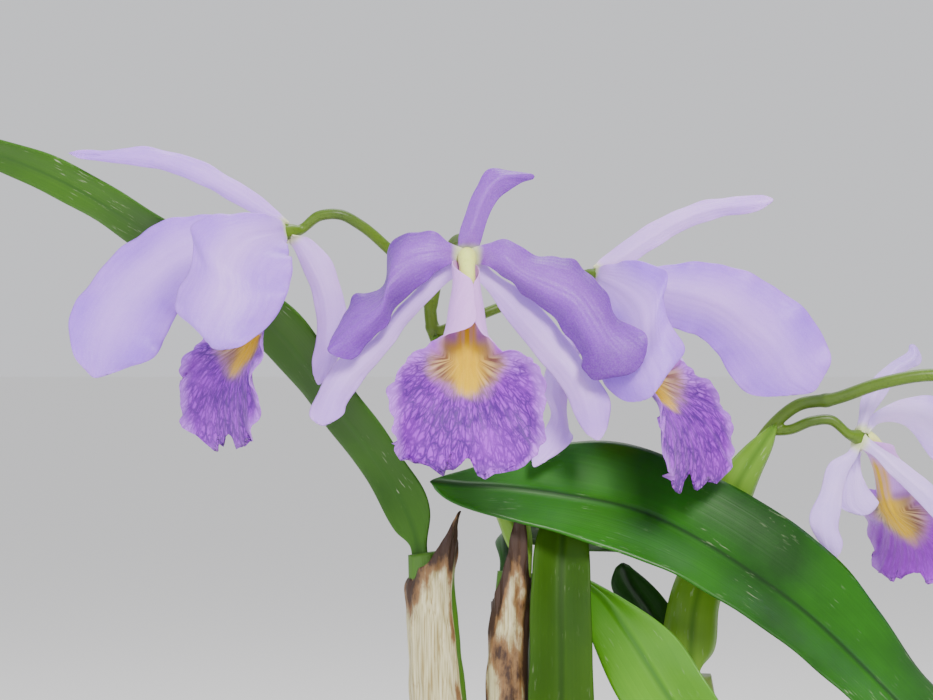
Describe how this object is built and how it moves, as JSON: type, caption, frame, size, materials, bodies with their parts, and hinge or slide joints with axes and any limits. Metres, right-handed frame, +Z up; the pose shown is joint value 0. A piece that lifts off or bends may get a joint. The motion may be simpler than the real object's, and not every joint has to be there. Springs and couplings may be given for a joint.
{
  "type": "potted cattleya orchid",
  "caption": "Cattleya orchid in flower: lilac blooms with netted frilled lips on arching stems, strap leaves and sheathed pseudobulbs in a plain pot of bark.",
  "frame": {"origin": "centre of the pot's flat foot", "axes": "+Z up; -Y toward the viewer of the picture; +X to the viewer's right"},
  "size_m": [0.4236, 0.172, 0.3984],
  "materials": {
    "petal": "satin",
    "sepal": "satin",
    "lip": "satin",
    "column": "satin",
    "stem": "satin",
    "spathe": "satin",
    "leaf": "satin",
    "pseudobulb": "satin",
    "dry_sheath": "matte",
    "rhizome": "matte",
    "bark": "matte",
    "pot": "matte"
  },
  "bodies": {
    "root": {"bark": "bark", "bloom_far_column": "column", "bloom_far_dorsal_sepal": "sepal", "bloom_far_left_petal": "petal", "bloom_far_left_sepal": "sepal", "bloom_far_lip": "lip", "bloom_far_right_petal": "petal", "bloom_far_right_sepal": "sepal", "bloom_left_column": "column", "bloom_left_dorsal_sepal": "sepal", "bloom_left_far_petal": "petal", "bloom_left_far_sepal": "sepal", "bloom_left_lip": "lip", "bloom_left_near_petal": "petal", "bloom_left_near_sepal": "sepal", "bloom_middle_column": "column", "bloom_middle_dorsal_sepal": "sepal", "bloom_middle_left_petal": "petal", "bloom_middle_left_sepal": "sepal", "bloom_middle_lip": "lip", "bloom_middle_right_petal": "petal", "bloom_middle_right_sepal": "sepal", "bloom_right_column": "column", "bloom_right_dorsal_sepal": "sepal", "bloom_right_far_petal": "petal", "bloom_right_far_sepal": "sepal", "bloom_right_lip": "lip", "bloom_right_near_petal": "petal", "bloom_right_near_sepal": "sepal", "flower_bud": "stem", "flower_stem_1": "stem", "flower_stem_2": "stem", "leaf_a": "leaf", "leaf_b": "leaf", "leaf_c": "leaf", "leaf_d": "leaf", "leaf_e": "leaf", "leaf_f": "leaf", "pot": "pot", "pseudobulb_1": "dry_sheath", "pseudobulb_2": "dry_sheath", "pseudobulb_3": "pseudobulb", "pseudobulb_4": "pseudobulb", "pseudobulb_5": "pseudobulb", "pseudobulb_6": "pseudobulb", "rhizome": "rhizome", "spathe_1": "spathe", "spathe_2": "spathe"}
  },
  "joints": []
}
